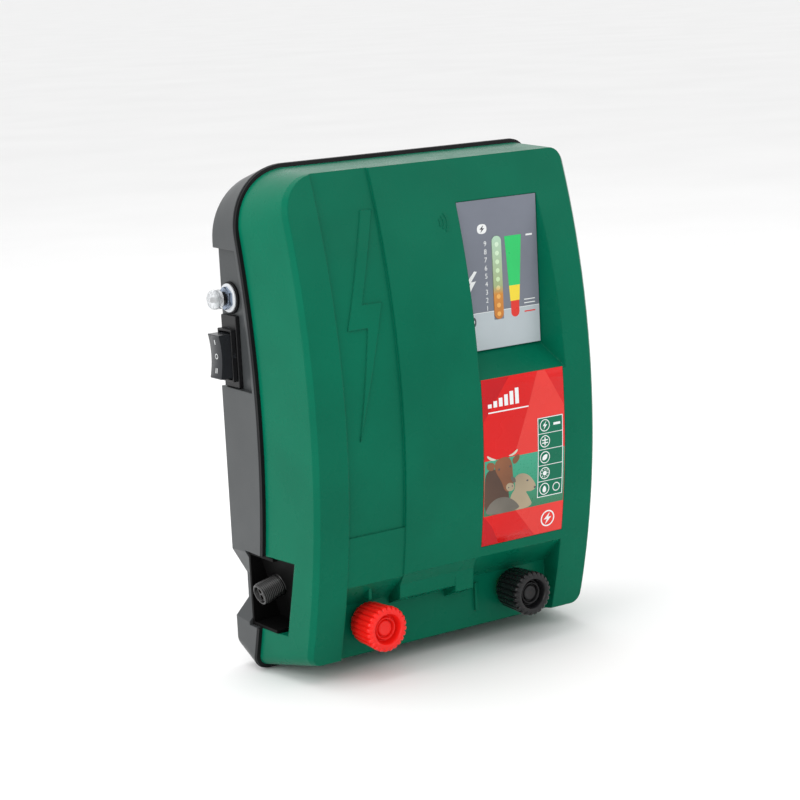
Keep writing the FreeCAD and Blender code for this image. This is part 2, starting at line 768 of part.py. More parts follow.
def knob_body(name):
    """Ribbed terminal knob: flared outside, dished front with a centre boss, blind bore for the stud."""
    rear, front, length = "knob_rear_radius", "knob_front_radius", "knob_length"
    bore = "stud_radius + running_clearance"
    body = turned_body(name + "_blank", [
        (bore, "0"), (f"{rear} - 1.2", "0"), (rear, "1.2"), (front, f"{length} - 2.2"),
        (f"{front} - 1.6", length), ("9.6", length), ("8.4", f"{length} - 2.6"),
        ("6.2", f"{length} - 3.4"), ("5.6", f"{length} - 2.2"), ("3.4", f"{length} - 2.2"),
        ("2.6", f"{length} - 2.8"), ("0", f"{length} - 2.8"), ("0", f"{length} - 3.9"),
        (bore, f"{length} - 3.9")])
    grooves = []
    count, groove_radius = 24, 1.05
    lean = math.degrees(math.atan((size(front) - size(rear)) / size(length)))
    for index in range(count):
        turn = Rotation(Vector(0, 0, 1), 360.0 * index / count)
        groove = Part.makeCylinder(groove_radius, size(length) * 1.2)
        groove.Placement = Placement(turn.multVec(Vector(size(rear) + 0.2, 0, -1)),
                                     turn * Rotation(Vector(0, 1, 0), lean))
        grooves.append(groove)
    ribs = plain(Part.makeCompound(grooves), name + "_grooves")
    return cut(body, [ribs], name)


def make_terminals():
    """Both terminals: stud, inner nut, contact plate, clamping washer and knob."""
    for name, x in (("fence", "fence_x"), ("earth", "earth_x")):
        stud = turned_body(name + "_stud", [
            ("0", "0"), ("5.6", "0"), ("5.6", "3"), ("stud_radius", "3"), ("stud_radius", "34.2"),
            ("stud_radius - 0.6", "34.8"), ("0", "34.8")])
        node(name + "_stud", stand(stud, (x, "-55", "terminal_z"), "-y"))
        plate = turned_body(name + "_contact_plate", [
            ("stud_radius", "0"), ("9.5", "0"), ("9.5", "1.6"), ("stud_radius", "1.6")])
        node(name + "_contact_plate", stand(plate, (x, "-bay_floor", "terminal_z"), "-y"))
        washer = turned_body(name + "_clamp_washer", [
            ("stud_radius + running_clearance", "0"), ("8.6", "0"), ("8.6", "2.0"),
            ("stud_radius + running_clearance", "2.0")])
        node(name + "_clamp_washer", stand(washer, (x, "-knob_rear + 2.0", "terminal_z"), "-y"))
        node(name + "_knob", stand(knob_body(name + "_knob"), (x, "-knob_rear", "terminal_z"), "-y"))
    nuts = [stand(hex_nut("stud_nut", 5.0, "5", "stud_radius"),
                  (x, "-bay_floor + wall + 5", "terminal_z"), "-y")
            for x in ("fence_x", "earth_x")]
    node("stud_nuts", group(nuts, "stud_nuts"))


def hex_nut(name, half_flats, height, bore):
    """A hexagon nut of a given half width across its flats."""
    corner = half_flats / math.cos(math.radians(30))
    turns = [math.radians(60 * turn) for turn in range(6)]
    outline = [(f"{corner * math.cos(turn):.4f}", f"{corner * math.sin(turn):.4f}") for turn in turns]
    return plate_body(name, outline, height, [(bore, "0", "0")])


# ---------------------------------------------------------------- switch and button

def make_switch():
    """Three-position rocker switch in the recess on the left side."""
    y, z, floor = "switch_y", "switch_z", "-recess_floor"
    bezel = box((f"{floor} - 3", f"{y} - 8.5", "recess_bottom + 0.3"),
                (floor, f"{y} + 8.5", f"{z} + 24"), "bezel")
    way = box((f"{floor} - 4", f"{y} - 6.6", f"{z} - 14.2"), (f"{floor} + 1", f"{y} + 6.6", f"{z} + 14.2"),
              "bezel_way")
    node("switch_bezel", cut(bezel, [way], "switch_bezel"))
    collar = box((f"{floor} - 6.5", f"{y} - 8", f"{z} - 16"), (f"{floor} - 3", f"{y} + 8", f"{z} + 16"),
                 "collar")
    mouth = box((f"{floor} - 7", f"{y} - 6.9", f"{z} - 14.6"), (f"{floor} - 2", f"{y} + 6.9", f"{z} + 14.6"),
                "collar_mouth")
    pivot_bore = cylinder("pivot_radius + running_clearance", "20",
                          (f"{floor} - pivot_height", f"{y} + 10", z), "-y", "pivot_bore")
    node("switch_collar", cut(collar, [mouth, pivot_bore], "switch_collar"))
    body = box((f"{floor} - 0.4", f"{y} - 6.4", f"{z} - 13.2"),
               (f"{floor} + 20", f"{y} + 6.4", f"{z} + 13.2"), "switch_core")
    tags = [box((f"{floor} + 19", f"{y} - 2.4", f"{z} + {offset} - 0.4"),
                (f"{floor} + 28", f"{y} + 2.4", f"{z} + {offset} + 0.4"), "tag") for offset in (-8, 0, 8)]
    node("switch_body", fuse([body, *tags], "switch_body"))
    node("switch_rocker", rocker(floor, y, z))


def rocker(floor, y, z):
    """The rocker itself: a block with a slightly hollow face, on two stub pivots."""
    block = box((f"{floor} - 14", f"{y} - 6.5", f"{z} - 13.5"),
                (f"{floor} - 3.4", f"{y} + 6.5", f"{z} + 13.5"), "rocker_block")
    dish_radius, dish_depth = 60.0, 1.4
    dish = cylinder(str(dish_radius), "20", (f"{floor} - 14 - {dish_radius} + {dish_depth}", f"{y} + 10", z),
                    "-y", "rocker_dish")
    pivots = cylinder("pivot_radius", "15.4", (f"{floor} - pivot_height", f"{y} + 7.7", z), "-y",
                      "rocker_pivots")
    return fuse([cut(block, [dish], "rocker_face"), pivots], "switch_rocker")


def make_button():
    """Sealed test button: seal, washer, hexagon nut, threaded barrel, plunger and clear cap."""
    y, z, floor = "button_y", "button_z", "-recess_floor"

    def ring(name, inner, outer, start, end):
        body = turned_body(name, [(inner, "0"), (outer, "0"), (outer, f"{end} - ({start})"),
                                  (inner, f"{end} - ({start})")])
        return node(name, stand(body, (f"{floor} - ({start})", y, z), "-x"))

    ring("button_seal", "4.1", "9.8", "0", "1.6")
    ring("button_washer", "4.1", "8.8", "1.6", "3.0")
    nut = hex_nut("button_nut_blank", 6.2, "2.6", "4.1")
    node("button_nut", stand(nut, (f"{floor} - 3", y, z), "-x"))
    barrel = turned_body("button_barrel", [("1.6", "0"), ("7", "0"), ("7", "13.8"), ("4", "13.8"),
                                           ("4", "23"), ("1.6", "23")])
    node("button_barrel", stand(barrel, (f"{floor} + 16.6", y, z), "-x"))
    plunger = turned_body("button_plunger", [("0", "0"), ("1.55", "0"), ("1.55", "10.6"), ("0", "10.6")])
    node("button_plunger", stand(plunger, (f"{floor} - 2", y, z), "-x"))
    cap = turned_body("button_cap", [
        ("0", "12.6"), ("1.55", "12.6"), ("1.55", "10.8"), ("4.3", "10.8"), ("4.3", "8.4"), ("6.1", "8.4"),
        ("6.1", "12.6"), ("5.2", "14.4"), ("3.2", "15.2"), ("0", "15.4")])
    node("button_cap", stand(cap, (floor, y, z), "-x"))


# ---------------------------------------------------------------- cable bay and power socket

def socket_frame():
    """Placement whose Z axis is the axis of the power socket, pointing out and down."""
    tilt = math.radians(size("socket_tilt"))
    axis = Vector(-math.cos(tilt), 0, -math.sin(tilt))
    place = Vector(size("socket_x"), size("socket_y"), size("socket_z"))
    return Placement(place, Rotation(Vector(0, 0, 1), axis))


def make_cable_bay():
    """Black liner of the cable bay, a cup whose sloping end wall carries the power socket."""
    thickness = 2.0
    outer = prism(cable_bay_profile(-0.25), "x", -109.5, 27, "liner_block")
    hollow = prism(cable_bay_profile(-0.25 - thickness), "x", -114, 40, "liner_hollow")
    range_box = box(("-112", "-46", "-140"), ("-80", "-10", "-60"), "liner_range")
    slab = Part.makeBox(140, 140, thickness, Vector(-70, -70, -thickness))
    slab.Placement = socket_frame()
    end_wall = common([outer, plain(slab, "liner_slab")], "liner_end")
    outside = Part.makeBox(140, 140, 60, Vector(-70, -70, -thickness))
    outside.Placement = socket_frame()
    sides = common([cut(outer, [hollow], "liner_tube"), range_box, plain(outside, "liner_side")],
                   "liner_sides")
    bore = Part.makeCylinder(size("socket_radius") + 0.1, 20, Vector(0, 0, -10))
    bore.Placement = socket_frame()
    node("cable_bay_liner", cut(fuse([sides, end_wall], "liner_joined"), [plain(bore, "liner_bore")],
                                "cable_bay_liner"))


def make_socket():
    """Threaded low-voltage power socket with its insert, its two pins and the nut behind the wall."""
    frame = socket_frame()

    def placed(body, name):
        body.Placement = frame
        return node(name, body)

    placed(turned_body("power_socket", [
        ("0", "-9"), ("6", "-9"), ("6", "-6"), ("9.5", "-6"), ("9.5", "-2.2"), ("socket_radius", "-2.2"),
        ("socket_radius", "socket_length - 0.6"), ("socket_radius - 0.6", "socket_length"),
        ("5.3", "socket_length"), ("5.3", "1.5"), ("0", "1.5")]), "power_socket")
    shapes = [Part.makeCylinder(5.2, 1.8, Vector(0, 0, 1.6))]
    for side in (-1, 1):
        shapes.append(Part.makeCylinder(2.7, 10.6, Vector(2.1 * side, 0, 3.2)))
    insert = shapes[0].fuse(shapes[1:])
    pins = []
    for side in (-1, 1):
        insert = insert.cut(Part.makeCylinder(1.7, 9.4, Vector(2.1 * side, 0, 5.0)))
        pins.append(Part.makeCylinder(0.9, 7.0, Vector(2.1 * side, 0, 5.0)))
    placed(plain(insert, "socket_insert"), "socket_insert")
    placed(plain(Part.makeCompound(pins), "socket_pins"), "socket_pins")


# ---------------------------------------------------------------- inside the case

def make_boards():
    """Main circuit board with its screws, and the radio module on it."""
    holes = [("2.1", f"({x}) + 78", f"({z}) + 74") for x, z in BOARD_SCREWS]
    board = plate_body("main_board", [("0", "0"), ("166", "0"), ("166", "202"), ("0", "202")],
                       "board_thickness", holes)
    node("main_board", stand(board, ("-78", "board_y", "-74"), "-y"))
    screws = []
    for x, z in BOARD_SCREWS:
        screw = turned_body("board_screw", [("0", "0"), ("1.9", "0"), ("1.9", "7"),
                                            ("3.6", "7"), ("3.6", "9"), ("0", "9")])
        screws.append(stand(screw, (x, "board_y + 5.4", z), "-y"))
    node("board_screws", group(screws, "board_screws"))
    node("radio_module", box(("-14", "board_y - board_thickness - 3.4", "100"),
                             ("8", "board_y - board_thickness - 0.2", "126"), "radio_module"))


def make_power_parts():
    """Pulse transformer, storage capacitors, heat sink and power transistor."""
    face = "board_y - board_thickness - 0.2"
    core = box(("0", f"{face} - 50", "-72"), ("66", f"{face} - 8", "-18"), "core_block")
    windows = [box((f"{left}", f"{face} - 51", "-61"), (f"{left} + 11", f"{face} - 7", "-29"), "core_window")
               for left in (11, 44)]
    node("transformer_core", cut(core, windows, "transformer_core"))
    feet = [box(("2", f"{face} - 8", f"{low}"), ("64", face, f"{low} + 9"), "foot") for low in (-72, -27)]
    node("transformer_feet", group(feet, "transformer_feet"))
    bobbin = box(("20", f"{face} - 52", "-60.5"), ("46", f"{face} - 6", "-29.5"), "bobbin_block")
    limb = box(("21.9", f"{face} - 50.1", "-62"), ("44.1", f"{face} - 7.9", "-28"), "bobbin_way")
    node("transformer_bobbin", cut(bobbin, [limb], "transformer_bobbin"))
    coil = box(("11.8", f"{face} - 58", "-59.5"), ("54.2", f"{face} - 0.4", "-30.5"), "coil_block")
    middle = box(("19.9", f"{face} - 52.1", "-62"), ("46.1", f"{face} - 5.9", "-28"), "coil_way")
    node("transformer_windings", cut(coil, [middle], "transformer_windings"))
    cans = [cylinder("17.5", "58", ("-48", face, z), "-y", "can") for z in ("-48", "-10", "28")]
    node("storage_capacitors", group(cans, "storage_capacitors"))
    plate = box(("74", f"{face} - 36", "-40"), ("77", face, "40"), "sink_plate")
    fins = [box(("76", f"{face} - 36", f"{-40 + 8 * step}"), ("84", face, f"{-38.4 + 8 * step}"), "fin")
            for step in range(10)]
    node("heat_sink", fuse([plate, *fins], "heat_sink"))
    node("power_transistor", box(("69", f"{face} - 22", "-8"), ("74", f"{face} - 4", "8"),
                                 "power_transistor"))


def lead_path(points, bend):
    """A wire of straight runs joined by tangent arcs of one radius."""
    edges, start = [], points[0]
    for before, corner, after in zip(points, points[1:], points[2:]):
        incoming, outgoing = (corner - before).normalize(), (after - corner).normalize()
        half_turn = incoming.getAngle(outgoing) / 2
        reach = bend * math.tan(half_turn)
        first, last = corner - incoming * reach, corner + outgoing * reach
        inwards = (outgoing - incoming).normalize()
        middle = corner + inwards * (bend / math.cos(half_turn) - bend)
        edges += [Part.LineSegment(start, first).toShape(), Part.Arc(first, middle, last).toShape()]
        start = last
    edges.append(Part.LineSegment(start, points[-1]).toShape())
    return Part.Wire(edges)


def lead(name, points, radius, bend):
    """A round lead along straight runs and arcs."""
    corners = [Vector(*point) for point in points]
    path = lead_path(corners, bend)
    direction = (corners[1] - corners[0]).normalize()
    section = Part.Wire(Part.makeCircle(radius, corners[0], direction))
    tube = path.makePipeShell([section], True, False)
    length_ratio = tube.Volume / (math.pi * radius ** 2 * path.Length)
    if not 0.99 < length_ratio < 1.01:
        raise RuntimeError(name + ": its volume doesn't match its length")
    node(name, plain(tube, name))


def make_leads():
    """Leads from the socket to the switch and from the transformer to the two studs."""
    stud_z = size("terminal_z")
    lead("fence_lead", [(size("fence_x"), -54.6, stud_z), (size("fence_x"), -46, stud_z),
                        (size("fence_x") + 24, -46, stud_z + 14), (-4, -46, -100), (14, -46, -92),
                        (14, -46, -73)], 1.6, 5)
    lead("earth_lead", [(size("earth_x"), -54.6, stud_z), (size("earth_x"), -44, stud_z),
                        (size("earth_x"), -38, -100), (size("earth_x"), -38, -73)], 1.6, 5)
    behind_socket = [socket_frame().multVec(Vector(0, 0, height)) for height in (-9, -18)]
    lead("power_lead", [*behind_socket, (-83, size("socket_y"), -70), (-83, -24, -20),
                        (-83, size("switch_y"), 12), (-83, size("switch_y"), size("switch_z") - 8.4)], 1.8, 6)


def make_case_screws():
    """Case screws, driven from the back into the posts of the front cover."""
    seam = Depth("seam", 0)
    screws = []
    for x, z in SCREW_PLACES:
        head_y = seam.y(z) + 9.2
        screw = turned_body("case_screw", [
            ("0", "0"), ("3.6", "0"), ("3.6", "2.4"), ("screw_radius - 0.05", "2.4"),
            ("screw_radius - 0.05", "20"), ("0", "21.6")])
        screws.append(stand(screw, (str(x), str(round(head_y + 2.4, 3)), str(z)), "-y"))
    node("case_screws", group(screws, "case_screws"))


def check_document():
    """Stop if any object failed or any piece has no valid shape."""
    for item in doc.Objects:
        if {"Invalid", "Error"} & set(item.State):
            raise RuntimeError(f"{item.Label} failed: {item.State}")
    for item in SUB_PARTS:
        if item.Shape.isNull() or not item.Shape.isValid() or not item.Shape.Solids:
            raise RuntimeError(f"{item.Label} has no valid solid")


def export_parts():
    """Write each piece to a STEP file named after it."""
    os.makedirs("parts", exist_ok=True)
    for item in SUB_PARTS:
        item.Shape.exportStep(f"parts/{item.Label}.step")
        print(f"{item.Label}: {len(item.Shape.Solids)} solids, {item.Shape.Volume / 1000:.2f} cm3")


fill_sheet()
make_rear_housing()
make_gasket()
make_front_cover()
make_display()
make_label()
make_terminals()
make_switch()
make_button()
make_cable_bay()
make_socket()
make_boards()
make_power_parts()
make_leads()
make_case_screws()
doc.recompute()
check_document()
export_parts()
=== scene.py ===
"""Looks of the fence energizer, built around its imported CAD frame. Lengths are in metres."""

import math

import bmesh
import bpy
from mathutils import Matrix, Vector


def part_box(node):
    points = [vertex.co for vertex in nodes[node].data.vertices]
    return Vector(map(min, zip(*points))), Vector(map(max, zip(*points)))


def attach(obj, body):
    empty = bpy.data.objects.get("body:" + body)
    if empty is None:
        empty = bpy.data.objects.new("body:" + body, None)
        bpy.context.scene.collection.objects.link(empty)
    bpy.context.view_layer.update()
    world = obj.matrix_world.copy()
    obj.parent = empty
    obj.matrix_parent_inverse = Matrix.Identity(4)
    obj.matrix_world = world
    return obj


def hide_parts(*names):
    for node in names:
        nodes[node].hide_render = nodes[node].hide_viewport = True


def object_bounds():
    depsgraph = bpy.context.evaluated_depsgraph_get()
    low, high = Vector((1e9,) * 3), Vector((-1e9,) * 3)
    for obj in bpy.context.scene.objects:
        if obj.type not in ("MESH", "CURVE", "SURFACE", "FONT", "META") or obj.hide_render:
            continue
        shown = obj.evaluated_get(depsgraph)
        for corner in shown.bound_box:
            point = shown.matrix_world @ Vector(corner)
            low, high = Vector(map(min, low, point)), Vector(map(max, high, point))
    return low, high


MM = 0.001

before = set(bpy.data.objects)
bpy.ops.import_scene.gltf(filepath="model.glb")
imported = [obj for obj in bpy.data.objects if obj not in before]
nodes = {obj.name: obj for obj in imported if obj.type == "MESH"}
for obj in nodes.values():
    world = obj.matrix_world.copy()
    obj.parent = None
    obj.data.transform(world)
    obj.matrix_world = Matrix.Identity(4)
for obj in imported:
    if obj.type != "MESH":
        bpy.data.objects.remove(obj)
cad_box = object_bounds()


# ---------------------------------------------------------------- materials

def new_material(name):
    """An empty node material, with its node tree and its shader."""
    material = bpy.data.materials.new(name)
    material.use_nodes = True
    tree = material.node_tree
    return material, tree, tree.nodes["Principled BSDF"]


def noise(tree, coordinates, scale, detail=3.0, stretch=(1, 1, 1)):
    """A noise pattern on the object's own coordinates, as its factor socket."""
    mapping = tree.nodes.new("ShaderNodeMapping")
    mapping.inputs["Scale"].default_value = stretch
    tree.links.new(coordinates, mapping.inputs["Vector"])
    pattern = tree.nodes.new("ShaderNodeTexNoise")
    pattern.inputs["Scale"].default_value = scale
    pattern.inputs["Detail"].default_value = detail
    tree.links.new(mapping.outputs["Vector"], pattern.inputs["Vector"])
    return pattern.outputs["Fac"]


def ramp(tree, factor, stops):
    """Colours along a factor, given as (position, colour) stops."""
    node = tree.nodes.new("ShaderNodeValToRGB")
    elements = node.color_ramp.elements
    while len(elements) < len(stops):
        elements.new(0.5)
    for element, (position, color) in zip(elements, stops):
        element.position = position
        element.color = (*color, 1.0)
    tree.links.new(factor, node.inputs["Fac"])
    return node.outputs["Color"]


def spread(tree, factor, low, high):
    """A factor spread over a range of values."""
    node = tree.nodes.new("ShaderNodeMapRange")
    node.inputs["From Min"].default_value = 0.3
    node.inputs["From Max"].default_value = 0.7
    node.inputs["To Min"].default_value = low
    node.inputs["To Max"].default_value = high
    tree.links.new(factor, node.inputs["Value"])
    return node.outputs["Result"]


def scaled(color, amount):
    """A colour made lighter or darker."""
    return tuple(min(channel * amount, 1.0) for channel in color)


def soft_edges(tree, bump, radius):
    """Round the shading of sharp edges below a bump by a radius."""
    bevel = tree.nodes.new("ShaderNodeBevel")
    bevel.samples = 6
    bevel.inputs["Radius"].default_value = radius
    tree.links.new(bevel.outputs["Normal"], bump.inputs["Normal"])


def moulded(name, color, roughness, grain=2500, depth=0.00002, shade=0.08, coat=0.0, specular=0.5, edge=0.0):
    """Moulded plastic or rubber: fine spark-eroded grain, uneven gloss and slight colour drift."""
    material, tree, shader = new_material(name)
    place = tree.nodes.new("ShaderNodeTexCoord").outputs["Object"]
    drift = noise(tree, place, 18.0)
    stops = [(0.3, scaled(color, 1 - shade)), (0.7, scaled(color, 1 + shade))]
    tree.links.new(ramp(tree, drift, stops), shader.inputs["Base Color"])
    haze = noise(tree, place, 60.0, detail=4.0)
    tree.links.new(spread(tree, haze, roughness - 0.04, roughness + 0.05), shader.inputs["Roughness"])
    bump = tree.nodes.new("ShaderNodeBump")
    bump.inputs["Distance"].default_value = depth
    tree.links.new(noise(tree, place, grain, detail=2.0), bump.inputs["Height"])
    tree.links.new(bump.outputs["Normal"], shader.inputs["Normal"])
    if edge:
        soft_edges(tree, bump, edge)
    shader.inputs["Specular IOR Level"].default_value = specular
    shader.inputs["Coat Weight"].default_value = coat
    shader.inputs["Coat Roughness"].default_value = 0.12
    return material


def metal(name, color, roughness, stretch=(1, 1, 1)):
    """Plated or brushed metal with fine marks and uneven gloss."""
    material, tree, shader = new_material(name)
    place = tree.nodes.new("ShaderNodeTexCoord").outputs["Object"]
    marks = noise(tree, place, 900.0, detail=4.0, stretch=stretch)
    stops = [(0.3, scaled(color, 0.85)), (0.7, scaled(color, 1.1))]
    tree.links.new(ramp(tree, marks, stops), shader.inputs["Base Color"])
    tree.links.new(spread(tree, marks, roughness - 0.06, roughness + 0.1), shader.inputs["Roughness"])
    bump = tree.nodes.new("ShaderNodeBump")
    bump.inputs["Distance"].default_value = 0.00001
    tree.links.new(marks, bump.inputs["Height"])
    tree.links.new(bump.outputs["Normal"], shader.inputs["Normal"])
    shader.inputs["Metallic"].default_value = 1.0
    return material


def clear_moulding(name, color):
    """Clear milky silicone of the button cap."""
    material, tree, shader = new_material(name)
    place = tree.nodes.new("ShaderNodeTexCoord").outputs["Object"]
    cloud = noise(tree, place, 300.0)
    stops = [(0.3, scaled(color, 0.92)), (0.7, color)]
    tree.links.new(ramp(tree, cloud, stops), shader.inputs["Base Color"])
    tree.links.new(spread(tree, cloud, 0.12, 0.24), shader.inputs["Roughness"])
    shader.inputs["Transmission Weight"].default_value = 0.65
    shader.inputs["IOR"].default_value = 1.42
    return material


def graded(name, stops, low, high, roughness=0.3, glow=0.0):
    """A print or lens whose colour changes with height, between two heights."""
    material, tree, shader = new_material(name)
    place = tree.nodes.new("ShaderNodeTexCoord").outputs["Object"]
    split = tree.nodes.new("ShaderNodeSeparateXYZ")
    tree.links.new(place, split.inputs["Vector"])
    height = tree.nodes.new("ShaderNodeMapRange")
    height.inputs["From Min"].default_value = low
    height.inputs["From Max"].default_value = high
    tree.links.new(split.outputs["Z"], height.inputs["Value"])
    speckle = noise(tree, place, 700.0)
    mixed = tree.nodes.new("ShaderNodeMath")
    mixed.operation = "MULTIPLY_ADD"
    mixed.inputs[1].default_value = 0.04
    tree.links.new(speckle, mixed.inputs[0])
    tree.links.new(height.outputs["Result"], mixed.inputs[2])
    colors = ramp(tree, mixed.outputs["Value"], stops)
    tree.links.new(colors, shader.inputs["Base Color"])
    tree.links.new(spread(tree, speckle, roughness - 0.05, roughness + 0.05), shader.inputs["Roughness"])
    if glow:
        tree.links.new(colors, shader.inputs["Emission Color"])
        shader.inputs["Emission Strength"].default_value = glow
    return material


INK = {"grain": 4000, "depth": 0.000006, "coat": 0.08, "specular": 0.15}
COVER = moulded("cover_green", (0.0010, 0.124, 0.068), 0.28, grain=1800, depth=0.00002, specular=0.07,
                edge=0.0012)
HOUSING = moulded("housing_grey", (0.048, 0.052, 0.054), 0.34, grain=1800, depth=0.00003, specular=0.22,
                  edge=0.0008)
SEAL = moulded("seal_black", (0.006, 0.006, 0.007), 0.5, specular=0.15)
BLACK = moulded("switch_black", (0.010, 0.010, 0.011), 0.35, grain=2600, specular=0.25)
ROCKER = moulded("rocker_black", (0.020, 0.022, 0.025), 0.25, depth=0.00001, specular=0.3)
# Cable bay liner: a black moulding, made near-black and almost unreflective so that its colour also paints
# the shade deep inside the cable bay.
BAY_LINER_AND_SHADE = moulded("liner_black", (0.004, 0.004, 0.004), 0.5, specular=0.05)
SOCKET = moulded("socket_black", (0.007, 0.007, 0.007), 0.24, specular=0.5)
KNOB_RED = moulded("knob_red", (0.80, 0.012, 0.008), 0.30, depth=0.00003, specular=0.3)
KNOB_BLACK = moulded("knob_black", (0.009, 0.009, 0.010), 0.28, depth=0.00003, specular=0.3)
WASHER_GREY = moulded("washer_grey", (0.62, 0.64, 0.66), 0.3)
PLATE_GREY = moulded("plate_grey", (0.185, 0.200, 0.240), 0.22, **INK)
PLATE_PALE = moulded("plate_pale", (0.47, 0.52, 0.55), 0.22, **INK)
LABEL_RED = moulded("label_red", (0.66, 0.012, 0.012), 0.26, **INK)
LABEL_LIGHT = moulded("label_light_red", (0.74, 0.048, 0.040), 0.26, **INK)
LABEL_DEEP = moulded("label_deep_red", (0.50, 0.006, 0.010), 0.26, **INK)
TABLE_GREEN = moulded("table_green", (0.002, 0.150, 0.080), 0.26, **INK)
PRINT_WHITE = moulded("print_white", (0.80, 0.82, 0.82), 0.3, grain=4000, depth=0.000005, shade=0.03)
MARK_WHITE = moulded("mark_white", (0.55, 0.56, 0.56), 0.4, shade=0.05)
PRINT_DARK = moulded("print_dark", (0.05, 0.05, 0.06), 0.3, shade=0.05)
COAT_BROWN = moulded("coat_brown", (0.235, 0.080, 0.026), 0.5, grain=900, depth=0.000004, shade=0.4)
COAT_DARK = moulded("coat_dark", (0.075, 0.032, 0.016), 0.5, grain=900, depth=0.000004, shade=0.4)
COAT_PALE = moulded("coat_pale", (0.42, 0.34, 0.22), 0.5, grain=900, depth=0.000004, shade=0.35)
COAT_GREY = moulded("coat_grey", (0.14, 0.125, 0.10), 0.5, grain=900, depth=0.000004, shade=0.4)
HORN = moulded("horn", (0.62, 0.58, 0.48), 0.4, shade=0.15)
PLATED = metal("plated_steel", (0.62, 0.62, 0.63), 0.3)
NUT_BLUE = metal("nut_blue_grey", (0.30, 0.36, 0.46), 0.28)
BRASS = metal("brass", (0.75, 0.56, 0.25), 0.28)
COPPER = metal("winding_copper", (0.60, 0.24, 0.10), 0.35, stretch=(1, 1, 12))
ALUMINIUM = metal("aluminium", (0.72, 0.72, 0.73), 0.35, stretch=(1, 1, 8))
IRON = metal("laminated_iron", (0.16, 0.16, 0.17), 0.5, stretch=(1, 30, 1))
BOARD = moulded("board_green", (0.015, 0.150, 0.060), 0.35, grain=700, depth=0.00001)
NYLON = moulded("nylon", (0.62, 0.60, 0.52), 0.4)
SLEEVE = moulded("can_sleeve", (0.015, 0.035, 0.120), 0.25, coat=0.4)
LEAD_RED = moulded("lead_red", (0.55, 0.012, 0.010), 0.4)
LAMP = moulded("lamp_resin", (0.75, 0.72, 0.55), 0.2, coat=0.4)
CAP = clear_moulding("cap_clear", (0.86, 0.88, 0.90))

NODE_MATERIALS = {
    "front_cover": COVER, "rear_housing": HOUSING, "parting_gasket": SEAL,
    "display_plate": PLATE_GREY, "display_board": BOARD, "bar_lamps": LAMP, "front_label": LABEL_RED,
    "fence_stud": PLATED, "earth_stud": PLATED, "stud_nuts": PLATED,
    "fence_contact_plate": BRASS, "earth_contact_plate": BRASS,
    "fence_clamp_washer": PLATED, "earth_clamp_washer": PLATED,
    "switch_bezel": BLACK, "switch_collar": BLACK, "switch_body": BLACK, "switch_rocker": ROCKER,
    "button_seal": SEAL, "button_washer": WASHER_GREY, "button_nut": NUT_BLUE, "button_barrel": BLACK,
    "button_plunger": BLACK, "cable_bay_liner": BAY_LINER_AND_SHADE, "socket_insert": SOCKET, "socket_pins": BRASS,
    "main_board": BOARD, "board_screws": PLATED, "radio_module": PLATED, "transformer_core": IRON,
    "transformer_feet": NYLON, "transformer_bobbin": NYLON, "transformer_windings": COPPER,
    "storage_capacitors": SLEEVE, "heat_sink": ALUMINIUM, "power_transistor": BLACK,
    "fence_lead": LEAD_RED, "earth_lead": BLACK, "power_lead": BLACK,
}
ROUNDED_EDGES = {"switch_bezel": 0.6, "switch_collar": 0.5, "switch_rocker": 1.4,
                 "button_nut": 0.3, "button_washer": 0.4, "button_seal": 0.4,
                 "cable_bay_liner": 0.2, "fence_contact_plate": 0.2, "earth_contact_plate": 0.2,
                 "fence_clamp_washer": 0.3, "earth_clamp_washer": 0.3, "front_label": 0.05,
                 "display_plate": 0.15}


def paint(obj, material):
    """Give every slot of an object one material."""
    if not obj.data.materials:
        obj.data.materials.append(material)
    for slot in obj.material_slots:
        slot.material = material


def round_edges(obj, width, angle=30):
    """Soften an object's sharp edges by a small width in millimetres."""
    weld = obj.modifiers.new("weld", "WELD")
    weld.merge_threshold = 0.000002
    bevel = obj.modifiers.new("soft_edges", "BEVEL")
    bevel.width = width * MM
    bevel.segments = 2
    bevel.limit_method = "ANGLE"
    bevel.angle_limit = math.radians(angle)
    bevel.harden_normals = True


def finish_cad_nodes():
    """Give the CAD nodes that stay their materials and soft edges."""
    for name, material in NODE_MATERIALS.items():
        paint(nodes[name], material)
    for name, width in ROUNDED_EDGES.items():
        round_edges(nodes[name], width)


# ---------------------------------------------------------------- pieces made in mesh code

def as_piece(name, mesh, material, body, slot, *replaced):
    """Put a mesh into the scene as a piece that rides on a body."""
    obj = bpy.data.objects.new(name, mesh)
    bpy.context.scene.collection.objects.link(obj)
    paint(obj, material)
    if replaced:
        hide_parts(*replaced)
    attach(obj, body)
    return obj


def from_grid(name, rows, matrix, cap_first=False, cap_last=False):
    """A smooth mesh from closed rings of points, all of the same count."""
    bm = bmesh.new()
    rings = [[bm.verts.new(matrix @ Vector(point)) for point in row] for row in rows]
    count = len(rings[0])
    for ring, following in zip(rings, rings[1:]):
        for index in range(count):
            after = (index + 1) % count
            bm.faces.new((ring[index], ring[after], following[after], following[index]))
    if cap_first:
        bm.faces.new(list(reversed(rings[0])))
    if cap_last:
        bm.faces.new(rings[-1])
    bmesh.ops.recalc_face_normals(bm, faces=bm.faces)
    mesh = bpy.data.meshes.new(name)
    bm.to_mesh(mesh)
    bm.free()
    mesh.shade_smooth()
    return mesh


def facing(axis, place):
    """The matrix that turns Z to an axis and moves the origin to a place, both in row axes."""
    turn = Vector((0, 0, 1)).rotation_difference(Vector(axis)).to_matrix().to_4x4()
    return Matrix.Translation(place) @ turn


def ring_of(radius, height, count):
    """Points of a circle at a height, in millimetres turned to metres."""
    return [(radius * MM * math.cos(2 * math.pi * step / count),
             radius * MM * math.sin(2 * math.pi * step / count), height * MM) for step in range(count)]


def lathe(name, profile, matrix, count=64):
    """A turned mesh from (radius, height) points in millimetres, closed at both ends."""
    rows = [ring_of(max(radius, 0.01), height, count) for radius, height in profile]
    return from_grid(name, rows, matrix, cap_first=True, cap_last=True)


